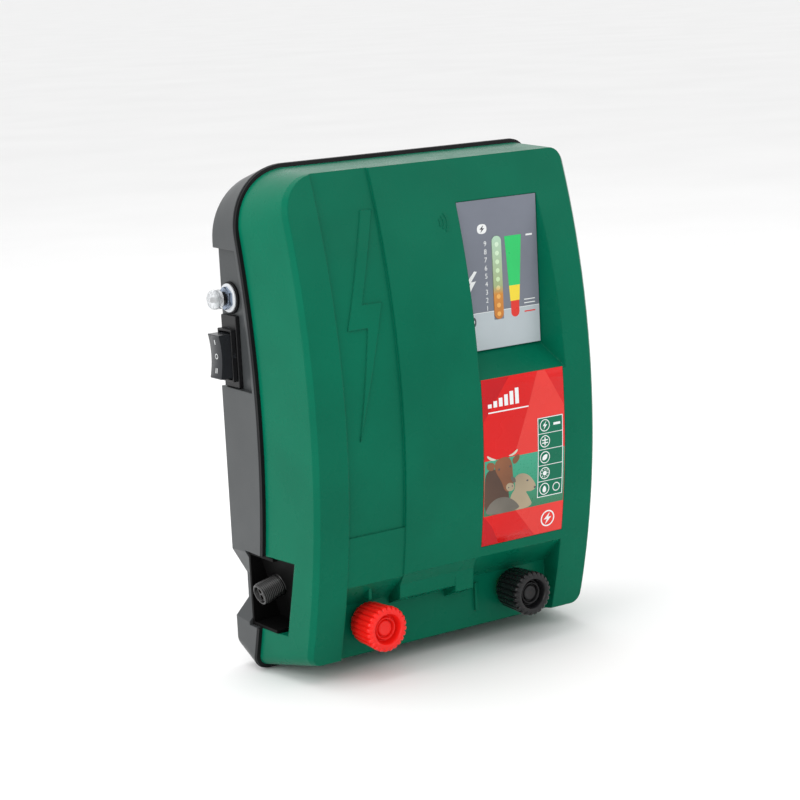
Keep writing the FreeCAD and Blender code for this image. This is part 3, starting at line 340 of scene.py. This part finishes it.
def eased(value):
    """A smooth step from 0 to 1."""
    value = min(max(value, 0.0), 1.0)
    return value * value * (3 - 2 * value)


KNOB_RIBS = 24
KNOB_PROFILE = [
    # radius, height, depth of the grooves there
    (3.2, 0.0, 0.0), (9.0, 0.0, 0.0), (11.2, 0.0, 0.0), (12.2, 0.15, 0.3), (12.8, 0.8, 0.9),
    (13.05, 1.8, 1.1), (13.2, 5.0, 1.15), (13.4, 9.0, 1.2), (13.6, 13.0, 1.2), (13.85, 17.0, 1.25),
    (14.1, 19.4, 1.3), (14.2, 20.6, 1.35), (13.9, 21.8, 1.4), (13.3, 22.6, 1.3), (12.5, 23.1, 1.0),
    (11.6, 23.3, 0.5), (10.8, 23.3, 0.1), (10.0, 23.2, 0.0), (9.5, 22.9, 0.0), (9.1, 20.6, 0.0),
    (8.7, 18.4, 0.0), (8.2, 17.5, 0.0), (7.6, 17.3, 0.0), (7.2, 17.6, 0.0), (6.9, 19.7, 0.0),
    (6.5, 20.2, 0.0), (6.0, 19.8, 0.0), (5.8, 17.6, 0.0), (5.3, 17.3, 0.0), (5.0, 17.6, 0.0),
    (4.7, 19.1, 0.0), (4.3, 19.5, 0.0), (3.3, 19.5, 0.0), (2.8, 19.4, 0.0), (2.2, 19.2, 0.0),
    (0.9, 19.2, 0.0), (0.01, 19.2, 0.0)]


def make_knob(body, material, slot):
    """Ribbed terminal knob: round-nosed ribs that fold over its front edge, and a dished front."""
    low, high = (Vector(corner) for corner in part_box(body))
    middle = (low + high) / 2
    rear = Vector((middle.x, high.y, middle.z))
    samples = KNOB_RIBS * 12
    rows = []
    for radius, height, groove in KNOB_PROFILE:
        row = []
        for step in range(samples):
            turn = 2 * math.pi * step / samples
            wave = abs(math.sin(KNOB_RIBS * turn / 2))
            reach = (radius - groove * (1 - eased(wave * 1.25))) * MM
            row.append((reach * math.cos(turn), reach * math.sin(turn), height * MM))
        rows.append(row)
    mesh = from_grid(body + "_ribbed", rows, facing((0, -1, 0), rear), cap_last=True)
    as_piece(body + "_ribbed", mesh, material, body, slot, body)


def make_cap():
    """Clear sealing cap of the test button: a bellows skirt and a rounded head."""
    low, high = (Vector(corner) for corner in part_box("button_cap"))
    middle = (low + high) / 2
    base = Vector((high.x, middle.y, middle.z))
    profile = [(4.4, 3.4), (4.4, 0.1), (4.7, 0.0), (5.7, 0.0), (6.0, 0.25), (6.0, 1.1), (5.6, 1.5),
               (5.55, 1.9), (5.95, 2.3), (6.05, 2.9), (6.05, 4.3), (5.8, 5.2), (5.2, 6.0),
               (4.2, 6.55), (3.0, 6.8), (1.6, 6.95), (0.0, 7.0)]
    mesh = lathe("button_dome", profile, facing((-1, 0, 0), base))
    as_piece("button_dome", mesh, CAP, "test_button", "cap_clear", "button_cap")


SOCKET_ROOT = Vector((-97.5, -31.5, -100.3)) * MM
SOCKET_TILT = math.radians(16.3)
SOCKET_RADIUS = 7.2
SOCKET_LENGTH = 15.0


def make_socket():
    """Threaded barrel of the power socket, with a helical thread and an open mouth."""
    axis = (-math.cos(SOCKET_TILT), 0, -math.sin(SOCKET_TILT))
    pitch, crest, count = 1.25, 0.42, 72
    inner = [(0.0, 1.5), (5.3, 1.5), (5.3, SOCKET_LENGTH - 0.3), (5.5, SOCKET_LENGTH),
             (SOCKET_RADIUS - 0.9, SOCKET_LENGTH)]
    rows = [ring_of(max(radius, 0.01), height, count) for radius, height in inner]
    steps = int((SOCKET_LENGTH - 0.6) / pitch * 10)
    for index in range(steps + 1):
        height = (SOCKET_LENGTH - 0.4) * (1 - index / steps)
        fade = eased((SOCKET_LENGTH - 0.4 - height) / 1.2) * eased(height / 1.5)
        row = []
        for step in range(count):
            turn = 2 * math.pi * step / count
            phase = (height / pitch + step / count) % 1.0
            ridge = eased(1 - abs(2 * phase - 1)) * crest * fade
            reach = (SOCKET_RADIUS - crest + ridge) * MM
            row.append((reach * math.cos(turn), reach * math.sin(turn), height * MM))
        rows.append(row)
    root = ((SOCKET_RADIUS, -0.1), (SOCKET_RADIUS, -2.2), (9.4, -2.2), (9.4, -6.0), (6.0, -6.0), (6.0, -9.0))
    rows += [ring_of(radius, height, count) for radius, height in root]
    mesh = from_grid("threaded_socket", rows, facing(axis, SOCKET_ROOT), cap_first=True, cap_last=True)
    as_piece("threaded_socket", mesh, SOCKET, "case", "socket_black", "power_socket")


# ---------------------------------------------------------------- printed pieces

def circle_through(first, second, third):
    """Centre and radius of the circle through three points of a plane."""
    (ax, ay), (bx, by), (cx, cy) = first, second, third
    area = 2 * (ax * (by - cy) + bx * (cy - ay) + cx * (ay - by))
    a2, b2, c2 = ax * ax + ay * ay, bx * bx + by * by, cx * cx + cy * cy
    x = (a2 * (by - cy) + b2 * (cy - ay) + c2 * (ay - by)) / area
    y = (a2 * (cx - bx) + b2 * (ax - cx) + c2 * (bx - ax)) / area
    return (x, y), math.hypot(ax - x, ay - y)


FRONT_CENTRE, FRONT_RADIUS = circle_through((-155.0, -69.7), (0.0, -94.1), (155.0, -67.5))
PLATE_FACE = -76.7


def front_face(z):
    """Depth of the curved front at a height, in millimetres."""
    return FRONT_CENTRE[1] - math.sqrt(FRONT_RADIUS ** 2 - (z - FRONT_CENTRE[0]) ** 2)


def plate_face(_z):
    """Depth of the flat display plate, in millimetres."""
    return PLATE_FACE


def printed(name, outlines, material, face, lift, slot):
    """Ink shapes of (x, z) corners in millimetres, laid on a face at a small lift."""
    bm = bmesh.new()
    for outline in outlines:
        bm.faces.new([bm.verts.new((x, 0, z)) for x, z in outline])
    low = min(z for outline in outlines for _x, z in outline)
    high = max(z for outline in outlines for _x, z in outline)
    level = low + 3.0
    while level < high:
        whole = bm.verts[:] + bm.edges[:] + bm.faces[:]
        bmesh.ops.bisect_plane(bm, geom=whole, plane_co=(0, 0, level), plane_no=(0, 0, 1))
        level += 3.0
    for vert in bm.verts:
        vert.co.y = face(vert.co.z) - lift
    bmesh.ops.triangulate(bm, faces=bm.faces)
    for item in bm.faces:
        item.normal_update()
        if item.normal.y > 0:
            item.normal_flip()
    bmesh.ops.scale(bm, vec=(MM, MM, MM), verts=bm.verts)
    mesh = bpy.data.meshes.new(name)
    bm.to_mesh(mesh)
    bm.free()
    return as_piece(name, mesh, material, "case", slot)


def disc(x, z, radius, tall=1.0, tilt=0.0, count=32):
    """Corners of an ellipse."""
    turn = math.radians(tilt)
    points = []
    for step in range(count):
        angle = 2 * math.pi * step / count
        across, up = radius * math.cos(angle), radius * tall * math.sin(angle)
        points.append((x + across * math.cos(turn) - up * math.sin(turn),
                       z + across * math.sin(turn) + up * math.cos(turn)))
    return points


def bar(left, bottom, right, top):
    """Corners of a rectangle."""
    return [(left, bottom), (right, bottom), (right, top), (left, top)]


def frame_bars(left, bottom, right, top, line):
    """Four bars that outline a rectangle."""
    return [bar(left, bottom, right, bottom + line), bar(left, top - line, right, top),
            bar(left, bottom + line, left + line, top - line),
            bar(right - line, bottom + line, right, top - line)]


def hoop(x, z, radius, line, count=32):
    """Four-cornered patches that make a ring."""
    patches = []
    for step in range(count):
        first, last = (2 * math.pi * turn / count for turn in (step, step + 1))
        patches.append([(x + r * math.cos(a), z + r * math.sin(a)) for r, a in
                        ((radius - line, first), (radius, first), (radius, last), (radius - line, last))])
    return patches


def softened(points, rounds=2):
    """An outline with its corners cut smooth."""
    for _round in range(rounds):
        cut = []
        for (ax, az), (bx, bz) in zip(points, points[1:] + points[:1]):
            cut += [(ax * 0.75 + bx * 0.25, az * 0.75 + bz * 0.25),
                    (ax * 0.25 + bx * 0.75, az * 0.25 + bz * 0.75)]
        points = cut
    return points


def make_display_print():
    """Scale, level wedge, flash and badges printed on the display plate."""
    left, right, bottom = 16.4, 76.6, 32.9
    line = 56.0
    lower_zone = [bar(left, bottom, 41.5, line), bar(48.9, bottom, right, line),
                  bar(41.5, bottom, 48.9, 50.6)]
    printed("display_lower_zone", lower_zone, PLATE_PALE, plate_face, 0.03, "display_grey")
    printed("display_rule", [bar(left, line, 41.5, line + 0.35), bar(48.9, line, right, line + 0.35)],
            PRINT_WHITE, plate_face, 0.05, "display_grey")
    wedge = {"green": ((0.010, 0.56, 0.13), 70.4, 101.5), "yellow": ((0.86, 0.66, 0.03), 60.8, 70.4)}

    def half_width(z):
        return 3.2 + (6.4 - 3.2) * max(z - 56.0, 0) / (101.5 - 56.0)

    for name, (color, low, high) in wedge.items():
        outline = [(57.9 - half_width(low), low), (57.9 + half_width(low), low),
                   (57.9 + half_width(high), high), (57.9 - half_width(high), high)]
        printed(f"level_{name}", [outline], moulded(f"ink_{name}", color, 0.3, depth=0.000005),
                plate_face, 0.06, "display_grey")
    red = moulded("ink_red", (0.72, 0.020, 0.008), 0.3, depth=0.000005)
    red_end = [(54.7, 60.8)] + [(57.9 - 3.2 * math.cos(turn), 53.8 - 3.2 * math.sin(turn))
                                for turn in (math.pi * step / 16 for step in range(17))] + [(61.1, 60.8)]
    printed("level_red", [red_end], red, plate_face, 0.06, "display_grey")
    flash = [(27.5, 82.5), (20.5, 75.2), (24.2, 75.4), (21.4, 66.5), (28.6, 76.2), (24.9, 76.0),
             (29.6, 82.0)]
    printed("display_flash", [flash], PRINT_WHITE, plate_face, 0.06, "display_grey")
    printed("unit_badge", [softened(bar(31.0, 104.8, 38.2, 110.8)), ], PRINT_WHITE, plate_face, 0.06,
            "display_grey")
    printed("unit_badge_mark", [[(35.6, 110.0), (32.8, 107.5), (34.5, 107.6), (33.4, 105.4), (36.6, 108.2),
                                 (35.0, 108.1)]], PRINT_DARK, plate_face, 0.09, "display_grey")
    printed("status_badge", [softened(bar(21.5, 47.6, 27.6, 54.2))], PRINT_DARK, plate_face, 0.06,
            "display_grey")
    printed("status_badge_mark", hoop(24.6, 50.9, 1.9, 0.5), PRINT_WHITE, plate_face, 0.09, "display_grey")
    printed("state_lines", [bar(68.0, 100.2, 73.0, 101.3), bar(65.0, 58.0, 73.5, 58.6),
                            bar(65.0, 60.2, 73.5, 60.8)], PRINT_WHITE, plate_face, 0.06, "display_grey")
    printed("warning_lines", [bar(65.0, 52.6, 73.5, 53.4)], red, plate_face, 0.06, "display_grey")
    for index in range(9):
        numeral(str(9 - index), 36.6, 97.0 - index * 5.0, 4.4)


def numeral(text, x, z, height):
    """One digit of the level scale, printed on the display plate."""
    curve = bpy.data.curves.new("digit_" + text, "FONT")
    curve.body = text
    curve.size = height * MM
    curve.align_x = "CENTER"
    obj = bpy.data.objects.new("digit_" + text, curve)
    obj.rotation_euler = (math.radians(90), 0, 0)
    obj.location = (x * MM, (PLATE_FACE - 0.06) * MM, z * MM)
    bpy.context.scene.collection.objects.link(obj)
    paint(obj, PRINT_WHITE)
    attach(obj, "case")


def make_label_print():
    """Facets, meadow picture and pictogram table of the front label, all generic."""
    left, right, bottom, top = 17.3, 79.7, -87.7, 17.7
    panel_low, panel_high = -68.5, -33.0
    slot = "label_film"
    printed("label_facet_light", [[(40, panel_high), (right, panel_high), (right, -6), (66, top), (60, top)]],
            LABEL_LIGHT, front_face, 0.03, slot)
    printed("label_facet_deep", [[(left, top), (left, -8), (38, top)],
                                 [(left, panel_low), (left, bottom), (30, bottom), (24, -76)]],
            LABEL_DEEP, front_face, 0.03, slot)
    printed("label_facet_low", [[(42, panel_low), (right, panel_low), (right, bottom), (58, bottom)]],
            LABEL_LIGHT, front_face, 0.03, slot)
    stops = [(0.0, (0.02, 0.16, 0.07)), (0.5, (0.012, 0.27, 0.15)), (1.0, (0.03, 0.33, 0.20))]
    meadow = graded("meadow", stops, panel_low * MM, panel_high * MM)
    printed("label_meadow", [bar(left, panel_low, right, panel_high)], meadow, front_face, 0.05, slot)
    make_animals()
    make_pictogram_table()
    levels = [bar(21.0 + 4.2 * step, 0.0, 23.8 + 4.2 * step, 2.4 + 1.5 * step) for step in range(6)]
    printed("label_level_bars", levels, PRINT_WHITE, front_face, 0.06, slot)
    printed("label_rule", [bar(21.0, -3.4, 52.0, -2.6)], PRINT_WHITE, front_face, 0.06, slot)
    printed("label_ring", hoop(68, -78.5, 5.4, 0.9), PRINT_WHITE, front_face, 0.06, slot)
    printed("label_ring_flash", [[(69.6, -74.6), (65.0, -79.0), (67.6, -78.9), (66.2, -82.4), (71.0, -77.6),
                                  (68.5, -77.7)]], PRINT_WHITE, front_face, 0.06, slot)


def make_animals():
    """A cow and a calf in the meadow picture."""
    slot = "label_film"
    body = softened([(18, -40), (25, -38), (33, -45), (37, -58), (36, -68.4), (17.6, -68.4), (17.4, -50)])
    printed("cow_body", [body], COAT_DARK, front_face, 0.07, slot)
    head = softened([(26.5, -33), (35.5, -32), (38.6, -37), (39, -45), (40.2, -51), (37.5, -55.5),
                     (33, -54.5), (30.6, -48), (26.4, -42), (24.6, -37)])
    printed("cow_head", [head], COAT_BROWN, front_face, 0.10, slot)
    printed("cow_ears", [softened([(25.5, -35), (19.2, -33.6), (18.6, -38.4), (24.2, -40.2)]),
                         softened([(38, -35), (43.2, -31.4), (45.0, -34.8), (40.2, -39.0)])],
            COAT_BROWN, front_face, 0.12, slot)
    horns = [[(27, -33.2), (22.6, -31.4), (19.2, -29.2), (19.0, -30.6), (22.4, -33.4)],
             [(34.6, -32.2), (39.0, -31.0), (42.6, -28.4), (43.0, -30.0), (39.6, -32.6)]]
    printed("cow_horns", [softened(horn) for horn in horns], HORN, front_face, 0.13, slot)
    printed("cow_muzzle", [disc(37.2, -52.4, 3.3, 0.8, -20)], COAT_PALE, front_face, 0.12, slot)
    printed("cow_marks", [disc(28.4, -39.6, 0.7), disc(37.0, -39.0, 0.7), disc(36.0, -52.6, 0.45),
                          disc(38.8, -52.0, 0.45)], PRINT_DARK, front_face, 0.14, slot)
    calf = softened([(40, -47), (45, -44.6), (51, -46.4), (55.5, -51), (58, -56), (54, -58.2), (49, -57.0),
                     (52, -61), (56, -68.4), (36, -68.4), (37.5, -58), (41.5, -54)])
    printed("calf", [calf], COAT_PALE, front_face, 0.09, slot)
    printed("calf_ear", [softened([(41, -47), (37.4, -45.2), (38.4, -49.4), (41.8, -50.4)])], COAT_GREY,
            front_face, 0.12, slot)
    printed("calf_marks", [disc(50.6, -50.4, 0.8, 0.7), disc(56.6, -55.8, 0.9, 0.7)], PRINT_DARK, front_face,
            0.12, slot)
    back = softened([(20, -62), (27, -57.5), (36, -58.5), (43, -63.5), (46, -68.4), (18, -68.4)])
    printed("calf_back", [back], COAT_GREY, front_face, 0.12, slot)


def make_pictogram_table():
    """Table of plain round pictograms at the right of the label."""
    slot = "label_film"
    left, right, top, row = 58.6, 78.4, -12.0, 10.3
    bottom = top - 5 * row
    printed("table_ground", [bar(left, bottom, right, top)], TABLE_GREEN, front_face, 0.15, slot)
    lines = frame_bars(left, bottom, right, top, 0.5)
    lines += [bar(left + 0.5, top - row * step - 0.2, right - 0.5, top - row * step + 0.2)
              for step in range(1, 5)]
    printed("table_lines", lines, PRINT_WHITE, front_face, 0.18, slot)
    rings, marks = [], []
    for index in range(5):
        middle = top - row * (index + 0.5)
        rings += hoop(64.2, middle, 3.9, 0.55, count=24)
        marks += pictogram(index, 64.2, middle)
    printed("table_rings", rings, PRINT_WHITE, front_face, 0.18, slot)
    printed("table_marks", marks, PRINT_WHITE, front_face, 0.20, slot)
    printed("table_fields", [bar(71.0, top - row * 0.5 - 0.8, 76.4, top - row * 0.5 + 0.8),
                             *hoop(73.6, top - row * 4.5, 2.9, 0.6, count=24)], PRINT_WHITE, front_face, 0.18,
            slot)


def pictogram(index, x, z):
    """A plain sign: flash, post, leaf, sun or drop."""
    signs = [
        [[(x + 1.2, z + 2.8), (x - 1.8, z - 0.4), (x - 0.2, z - 0.3), (x - 1.0, z - 2.8), (x + 1.8, z + 0.5),
          (x + 0.2, z + 0.4)]],
        [bar(x - 0.4, z - 2.6, x + 0.4, z + 2.6), bar(x - 2.3, z + 0.5, x + 2.3, z + 1.2),
         bar(x - 2.3, z - 1.3, x + 2.3, z - 0.6)],
        [softened([(x - 2.4, z - 2.0), (x - 1.6, z + 1.4), (x + 2.2, z + 2.2), (x + 1.4, z - 1.6)])],
        [disc(x, z, 1.5, count=20)] + [disc(x + 2.5 * math.cos(turn), z + 2.5 * math.sin(turn), 0.4, count=8)
                                       for turn in (math.pi * step / 4 for step in range(8))],
        [softened([(x, z + 2.9), (x - 1.9, z - 0.8), (x, z - 2.9), (x + 1.9, z - 0.8)])],
    ]
    return signs[index]


def make_rocker_marks():
    """White position marks on the rocker's hollow face: one bar, a ring and two bars."""
    middle_y, middle_z, hollow, deepest = -11.5, 42.5, 60.0, -119.6
    shapes = [bar(-0.4, 7.2, 0.4, 10.2), *hoop(0, 0, 1.7, 0.55, count=28),
              bar(-1.1, -10.2, -0.4, -7.2), bar(0.4, -10.2, 1.1, -7.2)]
    bm = bmesh.new()
    for outline in shapes:
        corners = []
        for across, up in outline:
            depth = deepest - (hollow - math.sqrt(hollow ** 2 - up ** 2)) - 0.04
            corners.append(bm.verts.new((depth * MM, (middle_y - across) * MM, (middle_z + up) * MM)))
        bm.faces.new(corners)
    for item in bm.faces:
        item.normal_update()
        if item.normal.x > 0:
            item.normal_flip()
    mesh = bpy.data.meshes.new("rocker_marks")
    bm.to_mesh(mesh)
    bm.free()
    as_piece("rocker_marks", mesh, MARK_WHITE, "switch_rocker", "rocker_black")


BAR_X = 45.2
BAR_LOW, BAR_HIGH = 50.7, 102.6
LAMP_COUNT = 9
LAMP_LOWEST, LAMP_SPACING, LAMP_RADIUS = 54.0, 5.4, 1.5


def make_light_bar():
    """Frosted lens of the level bar: clear green above, orange below, with its lamps behind."""
    stops = [(0.0, (0.50, 0.16, 0.02)), (0.32, (0.62, 0.24, 0.03)), (0.42, (0.34, 0.42, 0.20)),
             (1.0, (0.42, 0.62, 0.46))]
    lens = graded("bar_lens", stops, BAR_LOW * MM, BAR_HIGH * MM, roughness=0.2)
    paint(nodes["light_bar"], lens)
    glow_stops = [(0.0, (0.85, 0.40, 0.08)), (0.36, (0.80, 0.42, 0.10)), (0.44, (0.55, 0.72, 0.40)),
                  (1.0, (0.62, 0.80, 0.62))]
    glow = graded("lamp_spots", glow_stops, BAR_LOW * MM, BAR_HIGH * MM)
    spots = [disc(BAR_X, LAMP_LOWEST + LAMP_SPACING * step, LAMP_RADIUS, count=24)
             for step in range(LAMP_COUNT)]
    printed("lamp_spots", spots, glow, lambda z: PLATE_FACE - 0.3, 0.03, "bar_lens")


# ---------------------------------------------------------------- floor, light and camera

FLOOR_HALF = 80.0
FLOOR_GAP = 0.0002


def make_floor():
    """A plain pale floor under the object."""
    material, tree, shader = new_material("floor_pale")
    place = tree.nodes.new("ShaderNodeTexCoord").outputs["Object"]
    stops = [(0.3, (0.86, 0.86, 0.86)), (0.7, (0.89, 0.89, 0.89))]
    tree.links.new(ramp(tree, noise(tree, place, 3.0), stops), shader.inputs["Base Color"])
    shader.inputs["Roughness"].default_value = 0.75
    bm = bmesh.new()
    bmesh.ops.create_grid(bm, x_segments=4, y_segments=4, size=FLOOR_HALF)
    mesh = bpy.data.meshes.new("floor")
    bm.to_mesh(mesh)
    bm.free()
    floor = bpy.data.objects.new("floor", mesh)
    floor.location.z = cad_box[0][2] - FLOOR_GAP
    bpy.context.scene.collection.objects.link(floor)
    paint(floor, material)


def softbox(name, place, target, width, height, power, color=(1, 1, 1)):
    """A rectangular area light aimed at a point."""
    light = bpy.data.lights.new(name, "AREA")
    light.shape = "RECTANGLE"
    light.size, light.size_y = width, height
    light.energy = power
    light.color = color
    obj = bpy.data.objects.new(name, light)
    obj.location = place
    obj.rotation_euler = (Vector(target) - Vector(place)).to_track_quat("-Z", "Y").to_euler()
    bpy.context.scene.collection.objects.link(obj)


def make_light():
    """Soft studio light: a white surround, an overhead box, a left box and a weak front fill."""
    world = bpy.data.worlds.new("studio")
    world.use_nodes = True
    world.node_tree.nodes["Background"].inputs["Color"].default_value = (1.0, 1.0, 1.0, 1.0)
    world.node_tree.nodes["Background"].inputs["Strength"].default_value = 1.0
    bpy.context.scene.world = world
    bpy.context.scene.view_settings.view_transform = "Standard"
    softbox("overhead", (-0.1, 0.35, 1.7), (0, 0.1, 0), 2.2, 1.6, 14)
    softbox("left_box", (-1.7, -0.1, 0.55), (0, 0, 0), 1.0, 1.4, 14)
    softbox("front_fill", (1.3, -1.7, 1.0), (0, 0, 0), 1.0, 1.0, 3)


CAMERA_PLACE = (-0.7831, -1.1974, 0.2755)
CAMERA_RIGHT = Vector((0.82421, -0.56416, -0.04912))
CAMERA_UP = Vector((0.14851, 0.13164, 0.98011))
CAMERA_BACK = Vector((-0.54647, -0.81511, 0.19228))


def make_camera():
    """The camera at the photograph's viewing angle."""
    camera = bpy.data.cameras.new("camera")
    camera.lens = 102.4
    camera.sensor_width = 36.0
    obj = bpy.data.objects.new("camera", camera)
    turn = Matrix((CAMERA_RIGHT, CAMERA_UP, CAMERA_BACK)).transposed().to_4x4()
    obj.matrix_world = Matrix.Translation(CAMERA_PLACE) @ turn
    bpy.context.scene.collection.objects.link(obj)
    bpy.context.scene.camera = obj


finish_cad_nodes()
make_knob("fence_knob", KNOB_RED, "knob_red")
make_knob("earth_knob", KNOB_BLACK, "knob_black")
make_cap()
make_socket()
make_light_bar()
make_display_print()
make_label_print()
make_rocker_marks()
paint(nodes["case_screws"], PLATED)
make_floor()
make_light()
make_camera()
